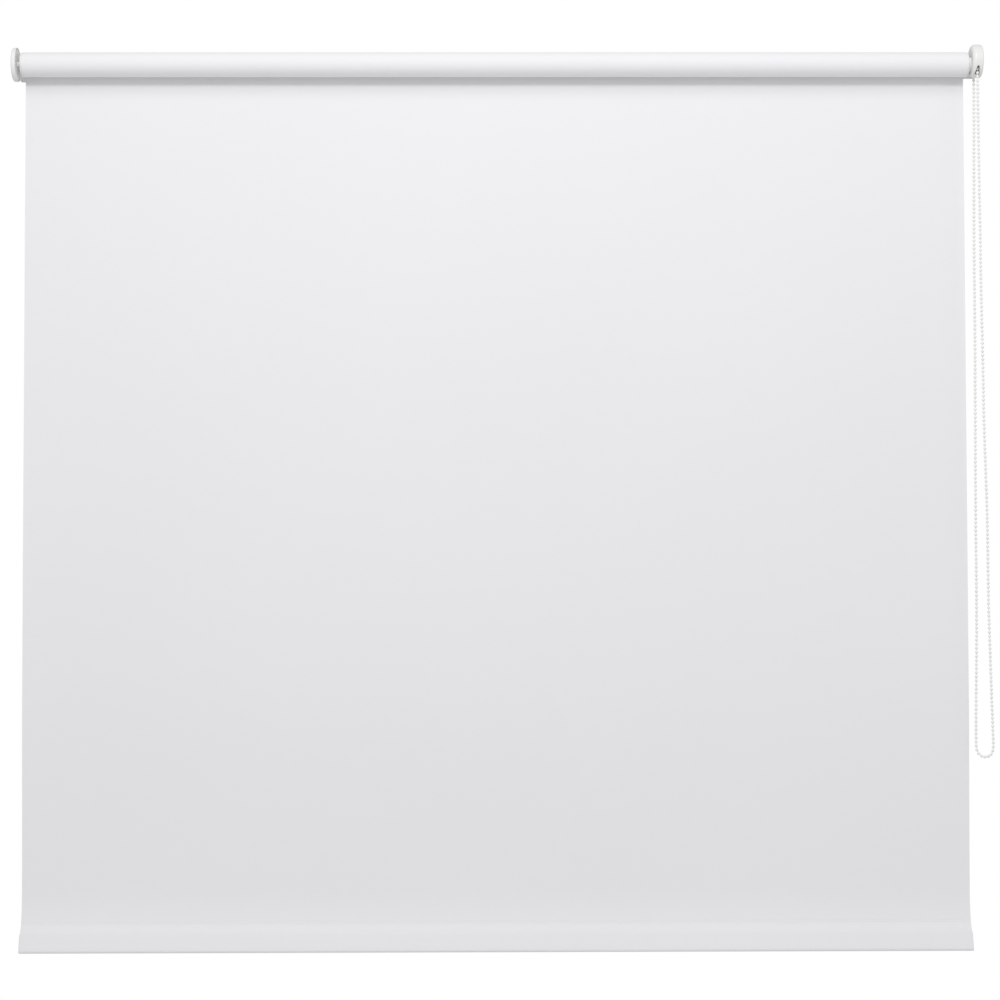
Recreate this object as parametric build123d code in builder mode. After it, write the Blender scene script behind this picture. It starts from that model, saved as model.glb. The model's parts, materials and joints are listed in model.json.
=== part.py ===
from build123d import *
from math import asin, cos, pi, radians, sin, tan
import os

# Roller blind with a bead-chain drive, in millimetres.
# +X runs along the tube to the drive end, +Y goes into the wall, +Z is up.
# The origin lies on the wall's face, midway along the fabric and level with the tube's axis.

os.makedirs("parts", exist_ok=True)

# ---------------------------------------------------------------- driving dimensions

axis_to_wall = 40.0  # tube axis to the wall's face

# fabric
fabric_width = 1400.0
fabric_thickness = 0.28
fabric_wraps = 8  # turns left on the tube when the blind is down
seam_drop = 1271.0  # tube axis down to the weld of the hem pocket

# tube
tube_diameter = 32.0
tube_wall = 1.2
key_height = 2.0
key_width = 2.2
key_count = 3
tape_width = 12.0
tape_thickness = 0.1

# hem and bottom bar
bar_width = 28.0
bar_thickness = 6.5
bar_wall = 1.0
hem_tilt = 18.0  # degrees that the hem leans out from the wall
seam_to_bar = 28.0  # weld to the bar's centre
seam_thickness = 0.8
bar_cap_flange = 3.0
bar_cap_proud = 1.0  # how far a cap stands out of the hem
bar_cap_plug = 20.0

# end fittings in the tube
plug_flange_rise = 1.5  # above the tube's outside
plug_flange = 2.5

# idle end
idle_plug_length = 50.0
idle_lip = 5.0  # bearing length of the pin's bore, flange included
idle_chamber_radius = 8.0
idle_cap_depth = 18.0
idle_cap_flange = 2.0
idle_cap_radius = 12.0
core_hole_radius = 1.3
core_hole_circle = 10.3
core_hole_count = 6
core_hole_depth = 40.0
core_hole_start = 30.0  # degrees round from the wall side
pin_radius = 4.0
pin_travel = 7.0
pin_past_plate = 2.1  # pin's nose beyond the bracket plate
pin_tail_gap = 1.0  # left behind the pin when it is pushed right in
pin_chamfer = 0.8
clip_thickness = 1.2
clip_radius = 7.2
clip_groove = 0.6
clip_slot = 5.6
washer_thickness = 1.0
washer_radius = 7.4
idle_spring_radius = 5.7  # to the wire's centre
idle_spring_wire = 0.6
idle_spring_turns = 7

# drive end
sleeve_length = 42.0
sleeve_end_wall = 3.0
collar_radius = 11.24
collar_inset = 3.0  # how far the wheel's collar reaches into the sleeve, past the fabric's edge
rib_depth = 1.5
rib_gap = 2.0  # between the sleeve's rib and the collar
finger_length = 24.0
hub_radius = 8.0
lug_side = 10.0
lug_past_plate = 0.4
hub_washer_radius = 10.0
hub_washer_thickness = 1.8
screw_radius = 1.2
screw_length = 12.0
screw_tip_room = 1.0
screw_head_radius = 2.8
screw_head_height = 2.2
screw_slot_length = 4.0
screw_slot_width = 0.7
finger_angle = 50.0  # degrees of arc of the driving finger and of the sleeve's rib
wrap_spring_wire = 1.15
wrap_spring_turns = 7
wrap_spring_from_collar = 3.0
wrap_spring_gap = 1.0
tang_clear = 0.4  # between a tang's tip and the collar's outside
tang_lead = 4.5  # degrees from the driving finger to a tang

# bead chain and wheel
bead_diameter = 4.5
bead_pitch = 6.0
thread_diameter = 1.2
pocket_count = 14
wheel_width = 7.2
wheel_flange = 0.9
wheel_flange_rise = 1.9  # above the beads' pitch circle
channel_room = 0.5  # beside the thread, between the pockets
chain_plane = 15.0  # beyond the fabric's right edge
hanging_beads = 3  # beads on each side between the wheel and the free loop

# brackets
plate_thickness = 2.0
arm_height = 35.0
flange_reach = 26.0
flange_corner = 4.0
screw_hole_radius = 2.6
screw_spacing = 20.0
screw_from_end = 10.0
left_plate_gap = 8.5  # fabric edge to the inner face of the left plate
right_plate_gap = 19.0
left_plate_radius = 23.0
guard_rise = 5.0  # the drive bracket and its guard are centred above the tube's axis

# slit and tooling hole in the left plate, placed from the tube's axis
slit_length = 11.0
slit_width = 0.7
slit_spot = (-13.0, 3.2)
dimple_radius = 1.1
dimple_spot = (-6.0, -6.0)

# covers and guard
cover_wall = 1.2
left_cover_radius = 25.0
left_cover_depth = 4.0  # outer face beyond the plate's outer face
cover_round = 2.4
cover_lap = 0.3  # cover's rim beyond the plate's inner face
clip_post_radius = 1.5
clip_post_circle = 17.5
clip_post_angle = 40.0  # degrees above and below level, on the room side
guard_room = 2.631  # between the wheel and the guard's rim, at the bottom
guard_gap = 7.0  # fabric edge to the guard's inner face
guard_wall = 1.6
guard_round = 6.0
guard_post_radius = 2.2
guard_peg_radius = 1.4
guard_post_inset = 5.2  # from the guard's outside to a post's centre
guard_post_height = 2.0  # of the two lower posts, above the guard's centre
mouth_clear = 1.6  # between a hanging bead and the mouth's inner end
mouth_top_z = -6.0
mouth_top_width = 3.0
mouth_foot_inset = 2.5  # from the guard's inner face to the mouth's foot
mouth_foot_drop = 2.5  # below the guard
right_cover_depth = 1.8

# clearances
running = 0.06  # radial, between a turning and a fixed piece
slip = 0.05  # between pieces that push together
sheet_gap = 0.3  # between the hanging fabric and the roll, and above the hem
loose = 0.3

# ---------------------------------------------------------------- derived sizes

axis_y = -axis_to_wall
half_width = fabric_width / 2
tube_radius = tube_diameter / 2
tube_bore_radius = tube_radius - tube_wall
plug_radius = tube_bore_radius - slip
roll_inner_radius = tube_radius + tape_thickness
roll_radius = roll_inner_radius + fabric_wraps * fabric_thickness
plug_flange_radius = tube_radius + plug_flange_rise

sheet_y = axis_y + roll_radius + sheet_gap + fabric_thickness / 2
pitch_radius = pocket_count * bead_pitch / (2 * pi)
wheel_flange_radius = pitch_radius + wheel_flange_rise
guard_radius = wheel_flange_radius + guard_room + guard_wall + guard_rise
right_plate_radius = guard_radius - guard_wall - loose
bead_radius = bead_diameter / 2
chain_x = half_width + chain_plane

left_plate_x = -half_width - left_plate_gap  # inner faces of the two plates
right_plate_x = half_width + right_plate_gap
wheel_x = chain_x - wheel_width / 2
guard_x = half_width + guard_gap


def across(x, z=0.0):
    """A plane square to the tube at x: local x goes to the wall, local y goes up."""
    return Plane(origin=(x, axis_y, z), x_dir=(0, 1, 0), z_dir=(1, 0, 0))


def key_slots():
    """Cuts the grooves that the tube's keys run in from the plug section being drawn."""
    depth = key_height + loose
    with PolarLocations(plug_radius - depth / 2 + slip, key_count):
        Rectangle(depth + 2 * slip, key_width + loose, mode=Mode.SUBTRACT)


# ---------------------------------------------------------------- tube and wound fabric

with BuildPart() as tube:
    with BuildSketch(across(-half_width)):
        Circle(tube_radius)
        Circle(tube_bore_radius, mode=Mode.SUBTRACT)
        with PolarLocations(tube_bore_radius - key_height / 2 + slip, key_count):
            Rectangle(key_height + 2 * slip, key_width)
    extrude(amount=fabric_width)
tube.part.label = "tube"
export_step(tube.part, "parts/tube.step")

with BuildPart() as fabric_tape:
    with BuildSketch(across(-half_width)):
        Circle(roll_inner_radius)
        Circle(tube_radius, mode=Mode.SUBTRACT)
        with Locations((0, -tube_radius)):
            Rectangle(tape_width, tube_radius, mode=Mode.INTERSECT)
    extrude(amount=fabric_width)
fabric_tape.part.label = "fabric_tape"
export_step(fabric_tape.part, "parts/fabric_tape.step")

with BuildPart() as fabric_roll:
    with BuildSketch(across(-half_width)):
        Circle(roll_radius)
        Circle(roll_inner_radius, mode=Mode.SUBTRACT)
    extrude(amount=fabric_width)
fabric_roll.part.label = "fabric_roll"
export_step(fabric_roll.part, "parts/fabric_roll.step")

# ---------------------------------------------------------------- hanging fabric and hem

with BuildPart() as fabric_drop:
    with Locations((0, sheet_y, -sheet_gap)):
        Box(
            fabric_width,
            fabric_thickness,
            seam_drop - 2 * sheet_gap,
            align=(Align.CENTER, Align.CENTER, Align.MAX),
        )
fabric_drop.part.label = "fabric_drop"
export_step(fabric_drop.part, "parts/fabric_drop.step")

# The hem's own plane has its origin at the weld, local y up along the leaning hem.
hem_up = (0, sin(radians(hem_tilt)), cos(radians(hem_tilt)))
hem_side = (0, cos(radians(hem_tilt)), -sin(radians(hem_tilt)))


def hem_plane(x):
    """The section plane of the hem at x, with its origin at the weld."""
    return Plane(origin=(x, sheet_y, -seam_drop), x_dir=hem_side, z_dir=(1, 0, 0))


def bar_outline(grow, mode=Mode.ADD):
    """The bar's rounded section, grown all round by grow, in the hem's plane."""
    with Locations((0, -seam_to_bar)):
        SlotOverall(
            bar_width + 2 * grow, bar_thickness + 2 * grow, rotation=90, mode=mode
        )


def pocket_outline(grow, weld_radius, weld_drop):
    """The bar's section grown by grow, drawn in to a round of weld_radius just below the weld."""
    end_radius = bar_thickness / 2 + grow
    end_drop = seam_to_bar - (bar_width - bar_thickness) / 2
    flare = asin((end_radius - weld_radius) / (end_drop - weld_drop))
    tops = (weld_radius * cos(flare), weld_radius * sin(flare) - weld_drop)
    feet = (end_radius * cos(flare), end_radius * sin(flare) - end_drop)
    Polygon(tops, feet, (-feet[0], feet[1]), (-tops[0], tops[1]), align=None)
    with Locations((0, -weld_drop)):
        Circle(weld_radius)
    bar_outline(grow)


with BuildPart() as hem_pocket:
    with BuildSketch(hem_plane(-half_width)) as pocket_outside:
        pocket_outline(loose + fabric_thickness, seam_thickness / 2, seam_thickness / 2)
    extrude(amount=fabric_width)
    with BuildSketch(hem_plane(-half_width)) as pocket_inside:
        pocket_outline(loose, (seam_thickness - fabric_thickness) / 2, seam_thickness + fabric_thickness)
    extrude(amount=fabric_width, mode=Mode.SUBTRACT)
hem_pocket.part.label = "hem_pocket"
export_step(hem_pocket.part, "parts/hem_pocket.step")

bar_end = half_width + bar_cap_proud - bar_cap_flange

with BuildPart() as bottom_bar:
    with BuildSketch(hem_plane(-bar_end)):
        bar_outline(0)
        bar_outline(-bar_wall, mode=Mode.SUBTRACT)
    extrude(amount=2 * bar_end)
bottom_bar.part.label = "bottom_bar"
export_step(bottom_bar.part, "parts/bottom_bar.step")


def bar_cap(side):
    """One end cap: a flange over the bar's end and a plug inside it. side is -1 or 1."""
    with BuildSketch(hem_plane(side * bar_end)) as flange:
        bar_outline(0)
    extrude(flange.sketch, amount=side * bar_cap_flange)
    with BuildSketch(hem_plane(side * bar_end)) as plug:
        bar_outline(-bar_wall - slip)
    extrude(plug.sketch, amount=-side * bar_cap_plug)


with BuildPart() as bar_cap_left:
    bar_cap(-1)
    fillet(bar_cap_left.edges().group_by(Axis.X)[0], bar_cap_proud / 2)
bar_cap_left.part.label = "bar_cap_left"
export_step(bar_cap_left.part, "parts/bar_cap_left.step")

with BuildPart() as bar_cap_right:
    bar_cap(1)
    fillet(bar_cap_right.edges().group_by(Axis.X)[-1], bar_cap_proud / 2)
bar_cap_right.part.label = "bar_cap_right"
export_step(bar_cap_right.part, "parts/bar_cap_right.step")

# ---------------------------------------------------------------- idle end in the tube

idle_face_x = -half_width - plug_flange
chamber_x = idle_face_x + idle_lip
idle_plug_end = -half_width + idle_plug_length
idle_cap_x = idle_plug_end - idle_cap_depth

with BuildPart() as idle_plug:
    with BuildSketch(across(-half_width)):
        Circle(plug_radius)
        key_slots()
    extrude(amount=idle_plug_length)
    with BuildSketch(across(idle_face_x)):
        Circle(plug_flange_radius)
    extrude(amount=plug_flange)
    with BuildSketch(across(idle_face_x)):
        Circle(pin_radius + running)
    extrude(amount=idle_lip, mode=Mode.SUBTRACT)
    with BuildSketch(across(chamber_x)):
        Circle(idle_chamber_radius)
    extrude(amount=idle_plug_end - chamber_x, mode=Mode.SUBTRACT)
    with BuildSketch(across(idle_plug_end)):
        with PolarLocations(core_hole_circle, core_hole_count, start_angle=core_hole_start):
            Circle(core_hole_radius)
    extrude(amount=-core_hole_depth, mode=Mode.SUBTRACT)
idle_plug.part.label = "idle_plug"
export_step(idle_plug.part, "parts/idle_plug.step")

with BuildPart() as idle_plug_cap:
    with BuildSketch(across(idle_cap_x)):
        Circle(idle_chamber_radius - slip)
    extrude(amount=idle_cap_depth)
    with BuildSketch(across(idle_plug_end)):
        Circle(idle_cap_radius)
    extrude(amount=idle_cap_flange)
idle_plug_cap.part.label = "idle_plug_cap"
export_step(idle_plug_cap.part, "parts/idle_plug_cap.step")

pin_nose_x = left_plate_x - plate_thickness - pin_past_plate
clip_x = chamber_x + loose
washer_x = clip_x + clip_thickness
spring_start_x = washer_x + washer_thickness
pin_tail_x = idle_cap_x - pin_travel - pin_tail_gap

with BuildPart() as idle_pin:
    with BuildSketch(across(pin_nose_x)):
        Circle(pin_radius)
    extrude(amount=pin_tail_x - pin_nose_x)
    chamfer(idle_pin.edges().group_by(Axis.X)[0], pin_chamfer)
    chamfer(idle_pin.edges().group_by(Axis.X)[-1], pin_chamfer)
    with BuildSketch(across(clip_x)):
        Circle(clip_radius)
        Circle(pin_radius - clip_groove, mode=Mode.SUBTRACT)
    extrude(amount=clip_thickness, mode=Mode.SUBTRACT)
idle_pin.part.label = "idle_pin"
export_step(idle_pin.part, "parts/idle_pin.step")

with BuildPart() as pin_clip:
    with BuildSketch(across(clip_x)):
        Circle(clip_radius)
        Circle(pin_radius - clip_groove + slip, mode=Mode.SUBTRACT)
        with Locations((0, -clip_radius / 2)):
            Rectangle(clip_slot, clip_radius, mode=Mode.SUBTRACT)
    extrude(amount=clip_thickness)
pin_clip.part.label = "pin_clip"
export_step(pin_clip.part, "parts/pin_clip.step")

with BuildPart() as spring_washer:
    with BuildSketch(across(washer_x)):
        Circle(washer_radius)
        Circle(pin_radius + slip, mode=Mode.SUBTRACT)
    extrude(amount=washer_thickness)
spring_washer.part.label = "spring_washer"
export_step(spring_washer.part, "parts/spring_washer.step")

idle_spring_start = spring_start_x + idle_spring_wire + slip
idle_spring_length = idle_cap_x - idle_spring_wire - slip - idle_spring_start

with BuildPart() as idle_spring:
    with BuildLine() as idle_coil:
        Helix(
            pitch=idle_spring_length / idle_spring_turns,
            height=idle_spring_length,
            radius=idle_spring_radius,
            center=(idle_spring_start, axis_y, 0),
            direction=(1, 0, 0),
        )
    with BuildSketch(Plane(origin=idle_coil.line @ 0, z_dir=idle_coil.line % 0)):
        Circle(idle_spring_wire)
    sweep(is_frenet=True)
idle_spring.part.label = "idle_spring"
export_step(idle_spring.part, "parts/idle_spring.step")

# ---------------------------------------------------------------- drive end in the tube

sleeve_x = half_width - sleeve_length
sleeve_face_x = half_width + plug_flange
collar_end_x = half_width - collar_inset
hub_x = sleeve_x - loose
rib_radius = collar_radius - rib_depth
sleeve_bore_radius = collar_radius + running


def arc_rib(inner, outer, middle_angle):
    """A block of arc between two radii, finger_angle wide, drawn in a section of the tube."""
    half = radians(finger_angle / 2)
    corner = outer / cos(half)
    middle = radians(middle_angle)
    left = (corner * cos(middle + half), corner * sin(middle + half))
    right = (corner * cos(middle - half), corner * sin(middle - half))
    Circle(outer)
    Circle(inner, mode=Mode.SUBTRACT)
    Polygon((0, 0), right, left, align=None, mode=Mode.INTERSECT)


with BuildPart() as drive_sleeve:
    with BuildSketch(across(sleeve_x)):
        Circle(plug_radius)
        key_slots()
    extrude(amount=sleeve_length)
    with BuildSketch(across(half_width)):
        Circle(plug_flange_radius)
    extrude(amount=plug_flange)
    with BuildSketch(across(sleeve_x)):
        Circle(hub_radius + running)
    extrude(amount=sleeve_end_wall, mode=Mode.SUBTRACT)
    with BuildSketch(across(sleeve_x + sleeve_end_wall)):
        Circle(sleeve_bore_radius)
    extrude(amount=sleeve_length + plug_flange - sleeve_end_wall, mode=Mode.SUBTRACT)
    with BuildSketch(across(sleeve_x + sleeve_end_wall)):
        arc_rib(rib_radius, sleeve_bore_radius + slip, -90)
    extrude(amount=collar_end_x - rib_gap - sleeve_x - sleeve_end_wall)
drive_sleeve.part.label = "drive_sleeve"
export_step(drive_sleeve.part, "parts/drive_sleeve.step")

with BuildPart() as clutch_hub:
    with BuildSketch(across(hub_x)):
        Circle(hub_radius)
    extrude(amount=right_plate_x - hub_x)
    with BuildSketch(across(right_plate_x)):
        Rectangle(lug_side, lug_side)
    extrude(amount=plate_thickness + lug_past_plate)
    with BuildSketch(across(hub_x)):
        Circle(screw_radius + slip)
    extrude(amount=screw_length + screw_tip_room, mode=Mode.SUBTRACT)
clutch_hub.part.label = "clutch_hub"
export_step(clutch_hub.part, "parts/clutch_hub.step")

with BuildPart() as hub_washer:
    with BuildSketch(across(hub_x)):
        Circle(hub_washer_radius)
        Circle(screw_radius + slip, mode=Mode.SUBTRACT)
    extrude(amount=-hub_washer_thickness)
hub_washer.part.label = "hub_washer"
export_step(hub_washer.part, "parts/hub_washer.step")

with BuildPart() as hub_screw:
    with BuildSketch(across(hub_x - hub_washer_thickness)):
        Circle(screw_radius)
    extrude(amount=screw_length)
    with BuildSketch(across(hub_x - hub_washer_thickness)):
        Circle(screw_head_radius)
    extrude(amount=-screw_head_height)
    fillet(hub_screw.edges().group_by(Axis.X)[0], screw_head_height / 3)
    with BuildSketch(across(hub_x - hub_washer_thickness - screw_head_height)):
        Rectangle(screw_slot_length, screw_slot_width)
        Rectangle(screw_slot_width, screw_slot_length)
    extrude(amount=screw_head_height / 2, mode=Mode.SUBTRACT)
hub_screw.part.label = "hub_screw"
export_step(hub_screw.part, "parts/hub_screw.step")

# ---------------------------------------------------------------- bead wheel

pocket_radius = bead_radius + loose
half_pocket_angle = 180 / pocket_count
channel_width = thread_diameter + channel_room
finger_x = collar_end_x - finger_length
collar_wall_x = guard_x + guard_wall

with BuildPart() as chain_wheel:
    with BuildSketch(across(wheel_x)):
        Circle(pitch_radius)
    extrude(amount=wheel_width)
    for flange_x in (wheel_x, wheel_x + wheel_width - wheel_flange):
        with BuildSketch(across(flange_x)):
            Circle(wheel_flange_radius)
        extrude(amount=wheel_flange)
    with BuildSketch(across(collar_end_x)):
        Circle(collar_radius)
    extrude(amount=wheel_x - collar_end_x)
    with BuildSketch(across(collar_end_x)):
        Circle(hub_radius + running)
    extrude(amount=wheel_x + wheel_width - collar_end_x, mode=Mode.SUBTRACT)
    with BuildSketch(across(collar_end_x)):
        Circle(rib_radius)
    extrude(amount=collar_wall_x - collar_end_x, mode=Mode.SUBTRACT)
    with BuildSketch(across(chain_x - channel_width / 2)):
        Circle(guard_radius)
        Circle(pitch_radius - thread_diameter / 2 - slip, mode=Mode.SUBTRACT)
    extrude(amount=channel_width, mode=Mode.SUBTRACT)
    with Locations(across(chain_x)):
        with PolarLocations(pitch_radius, pocket_count, start_angle=half_pocket_angle):
            Sphere(pocket_radius, mode=Mode.SUBTRACT)
    with BuildSketch(across(finger_x)):
        arc_rib(rib_radius, collar_radius, 90)
    extrude(amount=collar_end_x - finger_x)
chain_wheel.part.label = "chain_wheel"
export_step(chain_wheel.part, "parts/chain_wheel.step")

# Each wrap spring is close wound, so its turns are drawn as touching rings, with a tang at
# each end that stands beside the driving finger.
wrap_radius = hub_radius + 3 * slip + wrap_spring_wire / 2
wrap_length = wrap_spring_turns * wrap_spring_wire
tang_reach = collar_radius - tang_clear
tang_angle = 90 + finger_angle / 2 + tang_lead


def wrap_spring(start_x):
    """One close-wound brake spring whose first turn begins at start_x."""
    with BuildSketch(Plane.XY) as turns:
        for turn in range(wrap_spring_turns):
            with Locations((start_x + (turn + 0.5) * wrap_spring_wire, axis_y + wrap_radius)):
                Circle(wrap_spring_wire / 2)
        with Locations((start_x + wrap_length / 2, axis_y + wrap_radius)):
            Rectangle(wrap_length - wrap_spring_wire, wrap_spring_wire / 2)
    revolve(turns.sketch, axis=Axis((0, axis_y, 0), (1, 0, 0)))
    last_turn_x = start_x + wrap_length - wrap_spring_wire
    for x, angle in ((start_x, tang_angle), (last_turn_x, 180 - tang_angle)):
        with BuildSketch(across(x)) as tang:
            with PolarLocations((wrap_radius + tang_reach) / 2, 1, start_angle=angle):
                Rectangle(tang_reach - wrap_radius, wrap_spring_wire)
        extrude(tang.sketch, amount=wrap_spring_wire)


outer_spring_x = collar_end_x - wrap_spring_from_collar - wrap_length
inner_spring_x = outer_spring_x - wrap_spring_gap - wrap_length

with BuildPart() as wrap_spring_outer:
    wrap_spring(outer_spring_x)
wrap_spring_outer.part.label = "wrap_spring_outer"
export_step(wrap_spring_outer.part, "parts/wrap_spring_outer.step")

with BuildPart() as wrap_spring_inner:
    wrap_spring(inner_spring_x)
wrap_spring_inner.part.label = "wrap_spring_inner"
export_step(wrap_spring_inner.part, "parts/wrap_spring_inner.step")

# ---------------------------------------------------------------- brackets


def bracket(inner_x, side, plate_radius, centre_z):
    """A pressed bracket: round plate, arm back to the wall, flange turned in along the wall."""
    outer_x = inner_x + side * plate_thickness
    with BuildSketch(across(inner_x, centre_z)) as plate:
        Circle(plate_radius)
        with Locations((axis_to_wall / 2, 0)):
            Rectangle(axis_to_wall, arm_height)
    extrude(plate.sketch, amount=side * plate_thickness)
    with Locations((outer_x - side * flange_reach / 2, 0, centre_z)):
        Box(
            flange_reach,
            plate_thickness,
            arm_height,
            align=(Align.CENTER, Align.MAX, Align.CENTER),
        )


def bracket_finish(builder, inner_x, side, centre_z):
    """Rounds the bend and the flange's free corners, and drills the wall screw holes."""
    upright = builder.edges().filter_by(Axis.Z)
    bend = upright.sort_by_distance((inner_x + side * plate_thickness, 0, centre_z))[0]
    fillet(bend, plate_thickness)
    free_x = inner_x + side * plate_thickness - side * flange_reach
    across_flange = builder.edges().filter_by(Axis.Y)
    corners = across_flange.filter_by(lambda e: abs(e.center().X - free_x) < 0.1)
    fillet(corners, flange_corner)
    hole_x = free_x + side * screw_from_end
    with Locations(Plane(origin=(hole_x, 0, centre_z), x_dir=(1, 0, 0), z_dir=(0, 1, 0))):
        with GridLocations(0, screw_spacing, 1, 2):
            Hole(screw_hole_radius, depth=plate_thickness)


cover_post_spots = [
    (-clip_post_circle * cos(radians(a)), clip_post_circle * sin(radians(a)))
    for a in (clip_post_angle, -clip_post_angle)
]

with BuildPart() as left_bracket:
    bracket(left_plate_x, -1, left_plate_radius, 0)
    bracket_finish(left_bracket, left_plate_x, -1, 0)
    with BuildSketch(across(left_plate_x)):
        Circle(pin_radius + running + slip)
        with Locations(*cover_post_spots):
            Circle(clip_post_radius + slip)
        with Locations(dimple_spot):
            Circle(dimple_radius)
        with Locations(slit_spot):
            Rectangle(slit_length, slit_width)
    extrude(amount=-plate_thickness, mode=Mode.SUBTRACT)
left_bracket.part.label = "left_bracket"
export_step(left_bracket.part, "parts/left_bracket.step")

left_cover_x = left_plate_x - plate_thickness - left_cover_depth
left_cover_inside = left_cover_x + cover_wall

with BuildPart() as left_bracket_cover:
    with BuildSketch(across(left_cover_x)):
        Circle(left_cover_radius)
    extrude(amount=left_plate_x + cover_lap - left_cover_x)
    fillet(left_bracket_cover.edges().group_by(Axis.X)[0], cover_round)
    with BuildSketch(across(left_cover_inside)):
        Circle(left_cover_radius - cover_wall)
    extrude(amount=left_plate_x + cover_lap - left_cover_inside, mode=Mode.SUBTRACT)
    with BuildSketch(across(left_plate_x - plate_thickness - slip)):
        with Locations((axis_to_wall / 2, 0)):
            Rectangle(axis_to_wall, arm_height + 2 * loose)
    extrude(amount=plate_thickness + cover_lap + slip, mode=Mode.SUBTRACT)
    with BuildSketch(across(left_cover_inside)):
        with Locations(*cover_post_spots):
            Circle(clip_post_radius)
    extrude(amount=left_plate_x - left_cover_inside)
left_bracket_cover.part.label = "left_bracket_cover"
export_step(left_bracket_cover.part, "parts/left_bracket_cover.step")

# Posts of the guard, from the guard's centre, clear of the wheel.
guard_post_circle = guard_radius - guard_post_inset
guard_post_spots = [
    (0, guard_post_circle),
    (guard_post_circle + loose, guard_post_height),
    (-guard_post_circle - loose, guard_post_height),
]

with BuildPart() as right_bracket:
    bracket(right_plate_x, 1, right_plate_radius, guard_rise)
    bracket_finish(right_bracket, right_plate_x, 1, guard_rise)
    with BuildSketch(across(right_plate_x)):
        Rectangle(lug_side + 2 * slip, lug_side + 2 * slip)
    extrude(amount=plate_thickness, mode=Mode.SUBTRACT)
    with BuildSketch(across(right_plate_x, guard_rise)):
        with Locations(*guard_post_spots):
            Circle(guard_peg_radius + slip)
        with Locations(*cover_post_spots):
            Circle(clip_post_radius + slip)
    extrude(amount=plate_thickness, mode=Mode.SUBTRACT)
right_bracket.part.label = "right_bracket"
export_step(right_bracket.part, "parts/right_bracket.step")

# ---------------------------------------------------------------- chain guard and its cover

mouth_start = pitch_radius - bead_radius - mouth_clear  # from the tube's axis
mouth_foot_x = guard_x + mouth_foot_inset
mouth_foot_z = guard_rise - guard_radius - mouth_foot_drop


def guard_mouth(side):
    """Cuts one mouth for a strand of chain, wide at its foot. side -1 faces the room."""
    start = Plane(
        origin=(0, axis_y + side * mouth_start, 0), x_dir=(1, 0, 0), z_dir=(0, -1, 0)
    )
    with BuildSketch(start) as mouth:
        Polygon(
            (chain_x - mouth_top_width / 2, mouth_top_z),
            (chain_x + mouth_top_width / 2, mouth_top_z),
            (right_plate_x, mouth_foot_z),
            (mouth_foot_x, mouth_foot_z),
            align=None,
        )
    extrude(mouth.sketch, amount=-side * guard_radius, mode=Mode.SUBTRACT)


# The guard's shell is revolved from half of its section: along the tube, out from its centre.
guard_section = Plane(origin=(0, axis_y, guard_rise), x_dir=(1, 0, 0), z_dir=(0, -1, 0))

with BuildPart() as chain_guard:
    with BuildSketch(guard_section) as outside:
        Polygon(
            (guard_x, 0),
            (right_plate_x, 0),
            (right_plate_x, guard_radius),
            (guard_x, guard_radius),
            align=None,
        )
        outer_corner = outside.vertices().group_by(Axis.Y)[-1].sort_by(Axis.X)[0]
        fillet(outer_corner, guard_round)
    revolve(axis=Axis((0, axis_y, guard_rise), (1, 0, 0)))
    with BuildSketch(guard_section) as inside:
        Polygon(
            (guard_x + guard_wall, 0),
            (right_plate_x, 0),
            (right_plate_x, guard_radius - guard_wall),
            (guard_x + guard_wall, guard_radius - guard_wall),
            align=None,
        )
        inner_corner = inside.vertices().group_by(Axis.Y)[-1].sort_by(Axis.X)[0]
        fillet(inner_corner, guard_round - guard_wall)
    revolve(axis=Axis((0, axis_y, guard_rise), (1, 0, 0)), mode=Mode.SUBTRACT)
    with BuildSketch(across(guard_x)):
        Circle(collar_radius + 2 * loose)
    extrude(amount=guard_wall, mode=Mode.SUBTRACT)
    guard_mouth(-1)
    guard_mouth(1)
    with BuildSketch(across(guard_x + guard_wall, guard_rise)):
        with Locations(*guard_post_spots):
            Circle(guard_post_radius)
    extrude(amount=right_plate_x - guard_x - guard_wall)
    with BuildSketch(across(right_plate_x, guard_rise)):
        with Locations(*guard_post_spots):
            Circle(guard_peg_radius)
    extrude(amount=plate_thickness)
chain_guard.part.label = "chain_guard"
export_step(chain_guard.part, "parts/chain_guard.step")

right_cover_inside = right_plate_x + plate_thickness + right_cover_depth - cover_wall

with BuildPart() as right_bracket_cover:
    with BuildSketch(across(right_plate_x, guard_rise)):
        Circle(guard_radius)
    extrude(amount=plate_thickness + right_cover_depth)
    fillet(right_bracket_cover.edges().group_by(Axis.X)[-1], cover_round)
    with BuildSketch(across(right_plate_x, guard_rise)):
        Circle(guard_radius - cover_wall)
        with Locations((axis_to_wall / 2, 0)):
            Rectangle(axis_to_wall, arm_height + 2 * loose)
    extrude(amount=right_cover_inside - right_plate_x, mode=Mode.SUBTRACT)
    with BuildSketch(across(right_cover_inside, guard_rise)):
        with Locations(*cover_post_spots):
            Circle(clip_post_radius)
    extrude(amount=right_plate_x - right_cover_inside)
right_bracket_cover.part.label = "right_bracket_cover"
export_step(right_bracket_cover.part, "parts/right_bracket_cover.step")

# ---------------------------------------------------------------- bead chain

chain_exit_z = -hanging_beads * bead_pitch

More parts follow.
